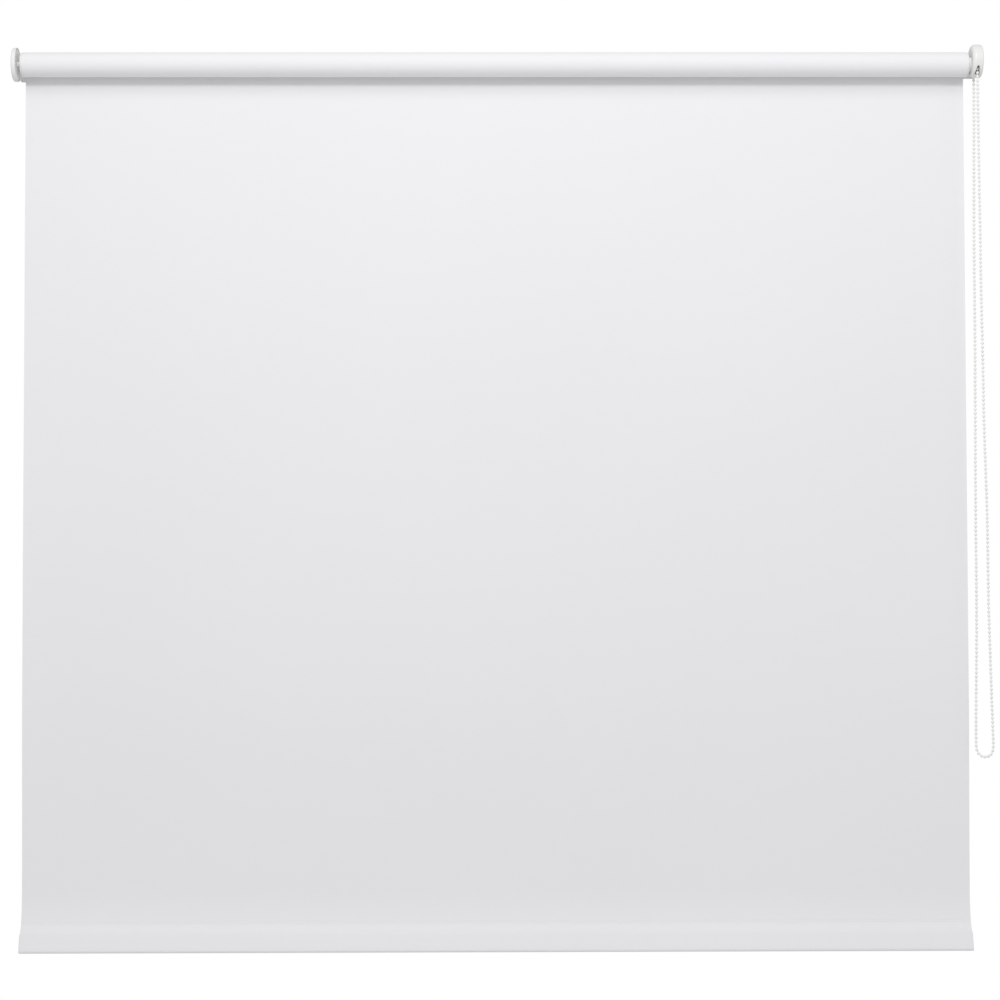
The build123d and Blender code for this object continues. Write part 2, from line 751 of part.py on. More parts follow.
with BuildPart() as chain_wrap:
    with Locations(across(chain_x)):
        with PolarLocations(
            pitch_radius,
            pocket_count // 2,
            start_angle=half_pocket_angle,
            angular_range=180,
            endpoint=False,
        ):
            Sphere(bead_radius)
    for side_y in (axis_y - pitch_radius, axis_y + pitch_radius):
        for bead in range(hanging_beads):
            with Locations((chain_x, side_y, -(bead + 0.5) * bead_pitch)):
                Sphere(bead_radius)
        with Locations((chain_x, side_y, chain_exit_z)):
            Cylinder(
                thread_diameter / 2,
                -chain_exit_z,
                align=(Align.CENTER, Align.CENTER, Align.MIN),
            )
    with BuildSketch(Plane.XY):
        with Locations((chain_x, axis_y + pitch_radius)):
            Circle(thread_diameter / 2)
    revolve(axis=Axis((0, axis_y, 0), (1, 0, 0)), revolution_arc=180)
chain_wrap.part.label = "chain_wrap"
export_step(chain_wrap.part, "parts/chain_wrap.step")

# Route of the free loop: beyond the chain plane, from the tube's axis to the wall, height.
chain_route = [
    (0.0, -pitch_radius, chain_exit_z),
    (0.0, -pitch_radius, -66),
    (0.5, -13.4, -124),
    (0.9, -13.3, -184),
    (1.6, -13.3, -246),
    (1.8, -13.2, -308),
    (2.5, -13.2, -370),
    (3.6, -13.1, -432),
    (4.1, -13.1, -494),
    (4.9, -13.0, -556),
    (6.8, -12.9, -618),
    (8.1, -12.7, -680),
    (8.5, -12.5, -742),
    (8.7, -12.2, -804),
    (10.3, -12.0, -864),
    (11.6, -11.7, -916),
    (12.7, -11.4, -957),
    (13.9, -11.0, -994),
    (14.6, -10.6, -1018),
    (8.5, -4.5, -1027),
    (-0.5, 4.4, -1027),
    (-6.7, 10.6, -1018),
    (-6.5, 11.0, -995),
    (-6.0, 11.4, -958),
    (-5.3, 11.7, -916),
    (-4.1, 12.0, -862),
    (-3.5, 12.3, -800),
    (-3.5, 12.5, -740),
    (-3.6, 12.6, -678),
    (-3.3, 12.9, -618),
    (-2.8, 13.0, -558),
    (-2.5, 13.1, -498),
    (-2.0, 13.1, -436),
    (-1.8, 13.2, -374),
    (-2.0, 13.2, -312),
    (-1.9, 13.3, -250),
    (-1.2, 13.3, -190),
    (-0.8, 13.4, -128),
    (0.0, pitch_radius, -68),
    (0.0, pitch_radius, chain_exit_z),
]
chain_points = [Vector(chain_x + x, axis_y + d, z) for x, d, z in chain_route]
chain_radii = []
for before, point, after in zip(chain_points, chain_points[1:], chain_points[2:]):
    run = min((point - before).length, (after - point).length)
    turn = radians((point - before).get_angle(after - point))
    chain_radii.append(0.45 * run / tan(turn / 2))

with BuildPart() as chain_loop:
    with BuildLine() as chain_path:
        FilletPolyline(*chain_points, radius=chain_radii)
    with BuildSketch(Plane(origin=chain_path.line @ 0, z_dir=chain_path.line % 0)):
        Circle(bead_radius)
    sweep()
chain_loop.part.label = "chain_loop"
export_step(chain_loop.part, "parts/chain_loop.step")

loop_length = sum(edge.length for edge in chain_path.edges())
section_volume = pi * bead_radius**2 * loop_length
print("chain radii:", [round(r, 1) for r in chain_radii])
print("smallest radius:", round(min(chain_radii), 2))
print("free loop length:", round(loop_length, 1))
print("loop volume over section times length:", round(chain_loop.part.volume / section_volume, 5))
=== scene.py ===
"""Dresses a packed roller blind: cloth, hem, bead chain, mouldings and metalwork."""

import json
import logging
import math
from dataclasses import dataclass, field
from enum import Enum
from typing import Sequence

import bpy
from mathutils import Matrix, Vector


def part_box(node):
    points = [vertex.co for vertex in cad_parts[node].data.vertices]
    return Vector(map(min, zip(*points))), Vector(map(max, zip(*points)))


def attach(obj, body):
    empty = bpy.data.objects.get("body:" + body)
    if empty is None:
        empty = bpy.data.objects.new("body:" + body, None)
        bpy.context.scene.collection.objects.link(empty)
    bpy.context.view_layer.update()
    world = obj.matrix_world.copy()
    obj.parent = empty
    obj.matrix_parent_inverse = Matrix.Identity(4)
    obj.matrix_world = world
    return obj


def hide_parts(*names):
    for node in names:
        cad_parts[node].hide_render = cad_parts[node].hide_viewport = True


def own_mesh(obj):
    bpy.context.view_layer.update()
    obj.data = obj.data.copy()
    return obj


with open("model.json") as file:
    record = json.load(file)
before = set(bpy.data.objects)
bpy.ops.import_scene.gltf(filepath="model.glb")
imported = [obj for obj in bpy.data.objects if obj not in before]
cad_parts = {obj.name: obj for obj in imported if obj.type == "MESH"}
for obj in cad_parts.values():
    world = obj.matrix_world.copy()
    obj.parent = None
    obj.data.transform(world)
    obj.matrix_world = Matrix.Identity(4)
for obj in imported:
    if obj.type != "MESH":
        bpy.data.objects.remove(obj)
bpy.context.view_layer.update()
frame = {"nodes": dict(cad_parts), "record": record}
SMOOTH_BELOW = math.radians(40)
BRIGHTEST = 0.95
log = logging.getLogger("roller_blind")

Colour = tuple[float, float, float]
Point = tuple[float, float, float]
Profile = list[tuple[float, float]]


class Slot(Enum):
    """The record's material slots."""

    CLOTH = "blind_fabric"
    STEEL = "coated_steel"
    COVER = "cover_plastic"
    GUARD = "guard_plastic"
    BEAD = "bead_plastic"
    ALUMINIUM = "mill_aluminium"
    PLUG = "plug_plastic"
    NYLON = "nylon_plastic"
    SPRING = "spring_steel"
    TAPE = "tape_film"


class Body(Enum):
    """The moving and fixed bodies that pieces ride on."""

    FIXED = "fixed"
    ROLLER = "roller"
    PIN = "pin"
    HEM = "hem"


def spaced(low: float, high: float, count: int) -> list[float]:
    """Evenly spaced values, both ends included."""
    return [low + (high - low) * k / count for k in range(count + 1)]


def eased(share: float) -> float:
    """Smooth step from 0 to 1."""
    share = min(max(share, 0.0), 1.0)
    return share * share * (3 - 2 * share)


def scaled(colour: Colour, factor: float = 1.0) -> tuple[float, float, float, float]:
    """A colour made lighter or darker, with an alpha of 1."""
    return (*(min(c * factor, BRIGHTEST) for c in colour), 1.0)


# ---------------------------------------------------------------- shader groups


def new_group(name: str, inputs: dict[str, float], outputs: dict[str, str]) -> bpy.types.NodeTree:
    """Makes an empty shader node group with a Vector input, value inputs and named outputs.

    Args:
        name: the group's name.
        inputs: value inputs and their defaults.
        outputs: output names and their socket types.

    Returns:
        The node tree, with one group input node and one group output node.
    """
    tree = bpy.data.node_groups.new(name, "ShaderNodeTree")
    tree.interface.new_socket("Vector", in_out="INPUT", socket_type="NodeSocketVector")
    for label, default in inputs.items():
        socket = tree.interface.new_socket(label, in_out="INPUT", socket_type="NodeSocketFloat")
        socket.default_value = default
    for label, kind in outputs.items():
        tree.interface.new_socket(label, in_out="OUTPUT", socket_type=kind)
    tree.nodes.new("NodeGroupInput").name = "in"
    tree.nodes.new("NodeGroupOutput").name = "out"
    return tree


class Wiring:
    """Adds nodes to a node tree and wires them up."""

    def __init__(self, tree: bpy.types.NodeTree) -> None:
        """Starts on a tree."""
        self.tree = tree

    def node(self, kind: str, settings: dict | None = None, **inputs: object) -> bpy.types.Node:
        """Adds a node.

        Args:
            kind: the node's type name.
            settings: attributes of the node itself.
            inputs: input name (spaces as underscores) to a value or to a socket to link.

        Returns:
            The new node.
        """
        made = self.tree.nodes.new(kind)
        for key, value in (settings or {}).items():
            setattr(made, key, value)
        for label, value in inputs.items():
            self.feed(made.inputs[label.replace("_", " ")], value)
        return made

    def feed(self, socket: bpy.types.NodeSocket, value: object) -> None:
        """Links a socket to another one, or sets it.

        Args:
            socket: the input socket.
            value: an output socket, or a value.
        """
        if isinstance(value, bpy.types.NodeSocket):
            self.tree.links.new(value, socket)
        else:
            socket.default_value = value

    def maths(self, operation: str, first: object, second: object = 0.0) -> bpy.types.NodeSocket:
        """Adds a Math node.

        Args:
            operation: the node's operation.
            first: its first input, a value or a socket.
            second: its second input, a value or a socket.

        Returns:
            The node's output.
        """
        made = self.tree.nodes.new("ShaderNodeMath")
        made.operation = operation
        self.feed(made.inputs[0], first)
        self.feed(made.inputs[1], second)
        return made.outputs[0]

    def blend(self, share: object, low: object, high: object) -> bpy.types.NodeSocket:
        """Mixes two values.

        Args:
            share: how much of the second one there is, 0 to 1.
            low: the first value.
            high: the second value.

        Returns:
            The mixed value.
        """
        made = self.tree.nodes.new("ShaderNodeMix")
        self.feed(made.inputs[0], share)
        self.feed(made.inputs[2], low)
        self.feed(made.inputs[3], high)
        return made.outputs[0]

    def tint(self, share: object, low: object, high: object) -> bpy.types.NodeSocket:
        """Mixes two colours.

        Args:
            share: how much of the second one there is, 0 to 1.
            low: the first colour.
            high: the second colour.

        Returns:
            The mixed colour.
        """
        made = self.tree.nodes.new("ShaderNodeMix")
        made.data_type = "RGBA"
        self.feed(made.inputs[0], share)
        self.feed(made.inputs[6], low)
        self.feed(made.inputs[7], high)
        return made.outputs[2]

    def noise(self, vector: object, scale: object, detail: float = 2.0) -> bpy.types.NodeSocket:
        """Adds a noise texture and returns its value."""
        made = self.node("ShaderNodeTexNoise", Vector=vector, Scale=scale, Detail=detail)
        return made.outputs["Fac"]

    def stretched(self, vector: object, scale: Point) -> bpy.types.NodeSocket:
        """Scales a place by axis.

        Args:
            vector: the place.
            scale: the factor for each axis.

        Returns:
            The scaled place.
        """
        made = self.node("ShaderNodeMapping", Vector=vector)
        made.inputs["Scale"].default_value = scale
        return made.outputs["Vector"]

    def bump(
        self,
        shader: bpy.types.Node,
        height: bpy.types.NodeSocket,
        strength: float,
        distance: float,
        normal: bpy.types.NodeSocket | None = None,
    ) -> None:
        """Gives a shader a bumped normal.

        Args:
            shader: the Principled node.
            height: the relief, 0 to 1.
            strength: how much of the bump there is.
            distance: the relief's depth in metres.
            normal: a normal to start from, or None for the surface's own.
        """
        made = self.node("ShaderNodeBump", Strength=strength, Distance=distance, Height=height)
        if normal is not None:
            self.feed(made.inputs["Normal"], normal)
        self.feed(shader.inputs["Normal"], made.outputs["Normal"])


def weave_group() -> bpy.types.NodeTree:
    """A plain weave of fine yarns, with slubs: threads cross over and under one another.

    Returns:
        The group. Height and Shade both rise where a yarn lies on top or is thick.
    """
    slubs_along, slubs_across = 60.0, 1400.0
    tree = new_group(
        "weave",
        {"Thread Pitch": 0.0005, "Slub": 0.35},
        {"Height": "NodeSocketFloat", "Shade": "NodeSocketFloat"},
    )
    wiring = Wiring(tree)
    entry, out = tree.nodes["in"], tree.nodes["out"]
    place = entry.outputs["Vector"]
    split = wiring.node("ShaderNodeSeparateXYZ", Vector=place)
    turn = wiring.maths("DIVIDE", 2 * math.pi, entry.outputs["Thread Pitch"])
    warp = wiring.maths("SINE", wiring.maths("MULTIPLY", split.outputs["X"], turn))
    weft = wiring.maths("SINE", wiring.maths("MULTIPLY", split.outputs["Z"], turn))
    crossings = wiring.maths("MULTIPLY", warp, weft)
    cells = wiring.maths("ADD", wiring.maths("MULTIPLY", crossings, 0.5), 0.5)
    along = wiring.stretched(place, (slubs_along, slubs_along, slubs_across))
    down = wiring.stretched(place, (slubs_across, slubs_across, slubs_along))
    slubs = wiring.maths("ADD", wiring.noise(along, 1.0), wiring.noise(down, 1.0))
    uneven = wiring.maths("MULTIPLY", wiring.maths("SUBTRACT", slubs, 1.0), entry.outputs["Slub"])
    relief = wiring.maths("ADD", cells, uneven)
    wiring.feed(out.inputs["Height"], relief)
    wiring.feed(out.inputs["Shade"], relief)
    return tree


def grain_group() -> bpy.types.NodeTree:
    """The fine pebbled skin of a moulding or a powder coat, and a slow unevenness of gloss.

    Returns:
        The group, with the grain's Height and the slow Patch mask.
    """
    tree = new_group(
        "grain",
        {"Grain Size": 0.0006, "Patch Size": 0.03},
        {"Height": "NodeSocketFloat", "Patch": "NodeSocketFloat"},
    )
    wiring = Wiring(tree)
    entry, out = tree.nodes["in"], tree.nodes["out"]
    fine = wiring.maths("DIVIDE", 1.0, entry.outputs["Grain Size"])
    slow = wiring.maths("DIVIDE", 1.0, entry.outputs["Patch Size"])
    wiring.feed(out.inputs["Height"], wiring.noise(entry.outputs["Vector"], fine, detail=3.0))
    wiring.feed(out.inputs["Patch"], wiring.noise(entry.outputs["Vector"], slow))
    return tree


def dust_group() -> bpy.types.NodeTree:
    """Settled dust: on faces that look up, in loose patches.

    Returns:
        The group, with the dust's Mask.
    """
    patches_per_metre, steepness = 90.0, 2.0
    tree = new_group("dust", {"Amount": 0.5}, {"Mask": "NodeSocketFloat"})
    wiring = Wiring(tree)
    entry, out = tree.nodes["in"], tree.nodes["out"]
    surface = wiring.node("ShaderNodeNewGeometry")
    split = wiring.node("ShaderNodeSeparateXYZ", Vector=surface.outputs["Normal"])
    upward = wiring.maths("MAXIMUM", split.outputs["Z"], 0.0)
    lying = wiring.maths("POWER", upward, steepness)
    patches = wiring.noise(entry.outputs["Vector"], patches_per_metre, detail=4.0)
    loose = wiring.maths("MULTIPLY", lying, patches)
    wiring.feed(out.inputs["Mask"], wiring.maths("MULTIPLY", loose, entry.outputs["Amount"]))
    return tree


def edge_wear_group() -> bpy.types.NodeTree:
    """Softened edges and where they are rubbed.

    Returns:
        The group, with a rounded Normal and the rubbed edges' Mask.
    """
    sharpness, scuffs_per_metre = 6.0, 600.0
    tree = new_group(
        "edge_wear",
        {"Radius": 0.0004},
        {"Normal": "NodeSocketVector", "Mask": "NodeSocketFloat"},
    )
    wiring = Wiring(tree)
    entry, out = tree.nodes["in"], tree.nodes["out"]
    rounded = wiring.node("ShaderNodeBevel", {"samples": 4}, Radius=entry.outputs["Radius"])
    surface = wiring.node("ShaderNodeNewGeometry")
    facing = wiring.node("ShaderNodeVectorMath", {"operation": "DOT_PRODUCT"})
    wiring.feed(facing.inputs[0], rounded.outputs["Normal"])
    wiring.feed(facing.inputs[1], surface.outputs["Normal"])
    turned = wiring.maths("SUBTRACT", 1.0, facing.outputs["Value"])
    sharp = wiring.maths("MINIMUM", wiring.maths("MULTIPLY", turned, sharpness), 1.0)
    scuffs = wiring.noise(entry.outputs["Vector"], scuffs_per_metre, detail=3.0)
    wiring.feed(out.inputs["Normal"], rounded.outputs["Normal"])
    wiring.feed(out.inputs["Mask"], wiring.maths("MULTIPLY", sharp, scuffs))
    return tree


class Effects:
    """The shared shader groups, each built once."""

    def __init__(self) -> None:
        """Builds every group."""
        self.weave = weave_group()
        self.grain = grain_group()
        self.dust = dust_group()
        self.edge_wear = edge_wear_group()

    def place(self, wiring: Wiring, tree: bpy.types.NodeTree, **inputs: object) -> bpy.types.Node:
        """Puts a group into a material.

        Args:
            wiring: the material's wiring.
            tree: the group.
            inputs: the group's inputs, as Wiring.node takes them.

        Returns:
            The group node.
        """
        made = wiring.node("ShaderNodeGroup", {"node_tree": tree})
        for label, value in inputs.items():
            wiring.feed(made.inputs[label.replace("_", " ")], value)
        return made


EFFECTS = Effects()


def new_material(name: str) -> tuple[bpy.types.Material, Wiring, bpy.types.Node]:
    """Makes a material with one Principled BSDF.

    Args:
        name: the material's name.

    Returns:
        The material, its wiring and the Principled node.
    """
    material = bpy.data.materials.new(name)
    material.use_nodes = True
    return material, Wiring(material.node_tree), material.node_tree.nodes["Principled BSDF"]


# ---------------------------------------------------------------- finishes


@dataclass(frozen=True)
class ClothFinish:
    """Closely woven polyester with an opaque back, in a cool white."""

    colour: Colour = (0.868, 0.866, 0.886)
    cloudy: float = 0.018
    clouds_per_metre: float = 2.3
    thread_pitch: float = 0.00046
    relief: float = 0.00006
    relief_strength: float = 0.8
    yarn_shade: float = 0.12
    yarn_share: float = 0.3
    roughness: float = 0.82
    roughness_swing: float = 0.06
    sheen: float = 0.12
    sheen_roughness: float = 0.45
    specular: float = 0.3
    wound: bool = False
    axis_y: float = -0.04
    roll_radius: float = 0.018

    def build(self, name: str) -> bpy.types.Material:
        """Makes the material; a wound cloth's weave follows the roll's girth.

        Args:
            name: the material's name.

        Returns:
            The material.
        """
        material, wiring, shader = new_material(name)
        place = wiring.node("ShaderNodeTexCoord").outputs["Object"]
        if self.wound:
            place = self.unrolled(wiring, place)
        weave = EFFECTS.place(wiring, EFFECTS.weave, Vector=place, Thread_Pitch=self.thread_pitch)
        clouds = wiring.noise(place, self.clouds_per_metre, detail=3.0)
        light = scaled(self.colour, 1 + self.cloudy)
        dark = scaled(self.colour, 1 - self.cloudy)
        yarn = scaled(self.colour, 1 - self.yarn_shade)
        cloudy = wiring.tint(clouds, dark, light)
        threads = wiring.maths("MULTIPLY", weave.outputs["Shade"], self.yarn_share)
        wiring.feed(shader.inputs["Base Color"], wiring.tint(threads, cloudy, yarn))
        low, high = self.roughness - self.roughness_swing, self.roughness + self.roughness_swing
        wiring.feed(shader.inputs["Roughness"], wiring.blend(clouds, low, high))
        wiring.bump(shader, weave.outputs["Height"], self.relief_strength, self.relief)
        shader.inputs["Sheen Weight"].default_value = self.sheen
        shader.inputs["Sheen Roughness"].default_value = self.sheen_roughness
        shader.inputs["Specular IOR Level"].default_value = self.specular
        return material

    def unrolled(self, wiring: Wiring, place: bpy.types.NodeSocket) -> bpy.types.NodeSocket:
        """Turns a place on the roll into a place on flat cloth: along the tube and round it.

        Args:
            wiring: the material's wiring.
            place: the place on the roll.

        Returns:
            The place on flat cloth.
        """
        split = wiring.node("ShaderNodeSeparateXYZ", Vector=place)
        across = wiring.maths("SUBTRACT", split.outputs["Y"], self.axis_y)
        angle = wiring.maths("ARCTAN2", split.outputs["Z"], across)
        joined = wiring.node("ShaderNodeCombineXYZ")
        wiring.feed(joined.inputs["X"], split.outputs["X"])
        wiring.feed(joined.inputs["Z"], wiring.maths("MULTIPLY", angle, self.roll_radius))
        return joined.outputs["Vector"]


@dataclass(frozen=True)
class MouldedFinish:
    """A moulded plastic or a powder coat: fine grain, uneven gloss, rubbed edges, a little dust."""

    colour: Colour
    roughness: float = 0.38
    glossier: float = 0.05
    duller: float = 0.10
    grain_size: float = 0.0007
    relief: float = 0.00001
    relief_strength: float = 0.35
    patch_shade: float = 0.965
    worn_light: float = 1.06
    dust: float = 0.25
    dust_colour: Colour = (0.66, 0.64, 0.60)
    dust_roughness: float = 0.85
    edge: float = 0.0004
    subsurface: float = 0.04
    subsurface_reach: Point = (0.002, 0.0018, 0.0016)
    specular: float = 0.5

    def build(self, name: str) -> bpy.types.Material:
        """Makes the material.

        Args:
            name: the material's name.

        Returns:
            The material.
        """
        material, wiring, shader = new_material(name)
        place = wiring.node("ShaderNodeTexCoord").outputs["Object"]
        grain = EFFECTS.place(wiring, EFFECTS.grain, Vector=place, Grain_Size=self.grain_size)
        wear = EFFECTS.place(wiring, EFFECTS.edge_wear, Vector=place, Radius=self.edge)
        dust = EFFECTS.place(wiring, EFFECTS.dust, Vector=place, Amount=self.dust)
        patch, dusty = grain.outputs["Patch"], dust.outputs["Mask"]
        mottled = wiring.tint(patch, scaled(self.colour, self.patch_shade), scaled(self.colour))
        rubbed = scaled(self.colour, self.worn_light)
        worn_and_painted_shade = wiring.tint(wear.outputs["Mask"], mottled, rubbed)
        wiring.feed(shader.inputs["Base Color"], wiring.tint(dusty, worn_and_painted_shade, scaled(self.dust_colour)))
        low, high = self.roughness - self.glossier, self.roughness + self.duller
        uneven = wiring.blend(patch, low, high)
        wiring.feed(shader.inputs["Roughness"], wiring.blend(dusty, uneven, self.dust_roughness))
        wiring.bump(
            shader,
            grain.outputs["Height"],
            self.relief_strength,
            self.relief,
            wear.outputs["Normal"],
        )
        shader.inputs["Subsurface Weight"].default_value = self.subsurface
        shader.inputs["Subsurface Radius"].default_value = self.subsurface_reach
        shader.inputs["Specular IOR Level"].default_value = self.specular
        return material


@dataclass(frozen=True)
class MetalFinish:
    """Bare metal with drawing lines along the tube and a thin unevenness of gloss."""

    colour: Colour
    roughness: float = 0.32
    glossier: float = 0.08
    duller: float = 0.2
    line_length: float = 0.05
    line_width: float = 0.0004
    line_shade: float = 0.86
    grain_size: float = 0.0004
    relief: float = 0.000006
    relief_strength: float = 0.4
    worn_light: float = 1.15
    edge: float = 0.0002

    def build(self, name: str) -> bpy.types.Material:
        """Makes the material.

        Args:
            name: the material's name.

        Returns:
            The material.
        """
        material, wiring, shader = new_material(name)
        place = wiring.node("ShaderNodeTexCoord").outputs["Object"]
        across = 1 / self.line_width
        drawn = wiring.stretched(place, (1 / self.line_length, across, across))
        lines = wiring.noise(drawn, 1.0, detail=4.0)
        grain = EFFECTS.place(wiring, EFFECTS.grain, Vector=place, Grain_Size=self.grain_size)
        wear = EFFECTS.place(wiring, EFFECTS.edge_wear, Vector=place, Radius=self.edge)
        lined = wiring.tint(lines, scaled(self.colour, self.line_shade), scaled(self.colour))
        bright = scaled(self.colour, self.worn_light)
        wiring.feed(shader.inputs["Base Color"], wiring.tint(wear.outputs["Mask"], lined, bright))
        spread = wiring.maths("MULTIPLY", grain.outputs["Patch"], lines)
        low, high = self.roughness - self.glossier, self.roughness + self.duller
        wiring.feed(shader.inputs["Roughness"], wiring.blend(spread, low, high))
        shader.inputs["Metallic"].default_value = 1.0
        wiring.bump(shader, lines, self.relief_strength, self.relief, wear.outputs["Normal"])
        return material


@dataclass(frozen=True)
class ThreadFinish:
    """Twisted polyester cord, with painted shade in the low parts of its twist."""

    colour: Colour = (0.92, 0.92, 0.915)
    twist: float = 0.0007
    # How dark the painted shade is where the twist's relief is low.
    painted_hollow_shade: float = 0.85
    roughness: float = 0.75
    relief: float = 0.0001
    relief_strength: float = 0.5

    def build(self, name: str) -> bpy.types.Material:
        """Makes the material.

        Args:
            name: the material's name.

        Returns:
            The material.
        """
        material, wiring, shader = new_material(name)
        place = wiring.node("ShaderNodeTexCoord").outputs["Object"]
        weave = EFFECTS.place(wiring, EFFECTS.weave, Vector=place, Thread_Pitch=self.twist)
        # Painted shade: the cord's colour darkens where the weave relief is low, in the hollows
        # between the twists.
        worn_and_painted_shade = scaled(self.colour, self.painted_hollow_shade)
        shade = wiring.tint(weave.outputs["Shade"], worn_and_painted_shade, scaled(self.colour))
        wiring.feed(shader.inputs["Base Color"], shade)
        shader.inputs["Roughness"].default_value = self.roughness
        wiring.bump(shader, weave.outputs["Height"], self.relief_strength, self.relief)
        return material


FINISHES = {
    Slot.CLOTH: ClothFinish(),
    Slot.STEEL: MouldedFinish(
        colour=(0.88, 0.88, 0.87), roughness=0.48, grain_size=0.0005, relief=0.00002, subsurface=0.0
    ),
    Slot.COVER: MouldedFinish(colour=(0.87, 0.87, 0.86), roughness=0.34),
    Slot.GUARD: MouldedFinish(colour=(0.86, 0.86, 0.845), roughness=0.36),
    Slot.BEAD: MouldedFinish(
        colour=(0.92, 0.92, 0.91), roughness=0.3, edge=0.0001, dust=0.1, subsurface=0.3
    ),
    Slot.ALUMINIUM: MetalFinish(colour=(0.77, 0.78, 0.79), roughness=0.36),
    Slot.PLUG: MouldedFinish(colour=(0.86, 0.86, 0.85), roughness=0.5),
    Slot.NYLON: MouldedFinish(colour=(0.075, 0.077, 0.08), roughness=0.55, worn_light=1.8),
    Slot.SPRING: MetalFinish(colour=(0.56, 0.56, 0.57), roughness=0.28, line_length=0.003),
    Slot.TAPE: MouldedFinish(colour=(0.72, 0.70, 0.62), roughness=0.3, subsurface=0.0),
}


# ---------------------------------------------------------------- mesh work


@dataclass
class Draft:
    """Vertices and faces being gathered for one piece."""

    points: list[Vector] = field(default_factory=list)
    faces: list[tuple[int, ...]] = field(default_factory=list)

    def grid(self, rows: Sequence[Sequence[Vector]], wrap: bool = False) -> list[list[int]]:
        """Adds a grid of quads.

        Args:
            rows: rows of points, all of one length.
            wrap: whether each row closes on itself.

        Returns:
            The index of every point, row by row.
        """
        indices = []
        for row in rows:
            start = len(self.points)
            self.points.extend(row)
            indices.append(list(range(start, start + len(row))))
        count = len(rows[0])
        for low, high in zip(indices, indices[1:]):
            for k in range(count if wrap else count - 1):
                after = (k + 1) % count
                self.faces.append((low[k], low[after], high[after], high[k]))
        return indices

    def shell(self, front: Sequence[Sequence[Vector]], back: Sequence[Sequence[Vector]]) -> None:
        """Adds a closed thin shell between two grids of the same size, with its four rims.

        Args:
            front: rows of points of one face.
            back: rows of points of the other face.
        """
        ahead = self.grid(front)
        start = len(self.faces)
        behind = self.grid(back)
        self.faces[start:] = [face[::-1] for face in self.faces[start:]]
        rims = (
            (ahead[0][::-1], behind[0][::-1]),
            (ahead[-1], behind[-1]),
            ([row[0] for row in ahead], [row[0] for row in behind]),
            ([row[-1] for row in ahead][::-1], [row[-1] for row in behind][::-1]),
        )
        for near, far in rims:
            for k in range(len(near) - 1):
                self.faces.append((near[k], near[k + 1], far[k + 1], far[k]))

    def tube(self, rings: Sequence[Sequence[Vector]]) -> None:
        """Adds a closed tube through rings, with a flat cap on each end.

        Args:
            rings: the rings of points, in order along the tube.
        """
        indices = self.grid(rings, wrap=True)
        self.faces.append(tuple(indices[0][::-1]))
        self.faces.append(tuple(indices[-1]))

    def piece(self, name: str, material: bpy.types.Material) -> bpy.types.Object:
        """Makes the object, smooth where its faces meet gently.

        Args:
            name: the piece's name.
            material: its material.

        Returns:
            The object.
        """
        mesh = bpy.data.meshes.new(name)
        mesh.from_pydata([tuple(p) for p in self.points], [], self.faces)
        mesh.validate()
        mesh.update()
        mesh.shade_smooth()
        mesh.set_sharp_from_angle(angle=SMOOTH_BELOW)
        made = bpy.data.objects.new(name, mesh)
        bpy.context.scene.collection.objects.link(made)
        mesh.materials.append(material)
        return made


def ring(centre: Vector, way: Vector, guide: Point, radius: float, sides: int) -> list[Vector]:
    """A ring of points round a direction.

    Args:
        centre: the ring's centre.
        way: the direction that it stands square to.
        guide: a direction that is never along the way; the ring starts square to both.
        radius: the ring's radius.
        sides: how many points.

    Returns:
        The points.
    """
    side = way.cross(Vector(guide)).normalized()
    other = way.cross(side)
    angles = (2 * math.pi * k / sides for k in range(sides))
    return [centre + (side * math.cos(a) + other * math.sin(a)) * radius for a in angles]


def hand_over(
    piece: bpy.types.Object, body: Body, replaced: Sequence[str] = ()
) -> bpy.types.Object:
    """Rides a piece on its body and hides the nodes that it stands for.

    Args:
        piece: the piece.
        body: the body that it moves with.
        replaced: the nodes that it stands for.

    Returns:
        The piece.
    """
    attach(piece, body.value)
    if replaced:
        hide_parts(*replaced)
    log.info("%s rides on %s with %d vertices", piece.name, body.value, len(piece.data.vertices))
    return piece


# ---------------------------------------------------------------- cloth


@dataclass(frozen=True)
class Wave:
    """One of the gentle waves in a sheet of cloth."""

    share: float
    rate: float
    phase: float
    drift: float = 0.0

    def at(self, across: float, down: float = 0.0) -> float:
        """The wave's height at a place; its phase drifts down the sheet."""
        return self.share * math.cos(self.rate * across + self.phase + self.drift * down)


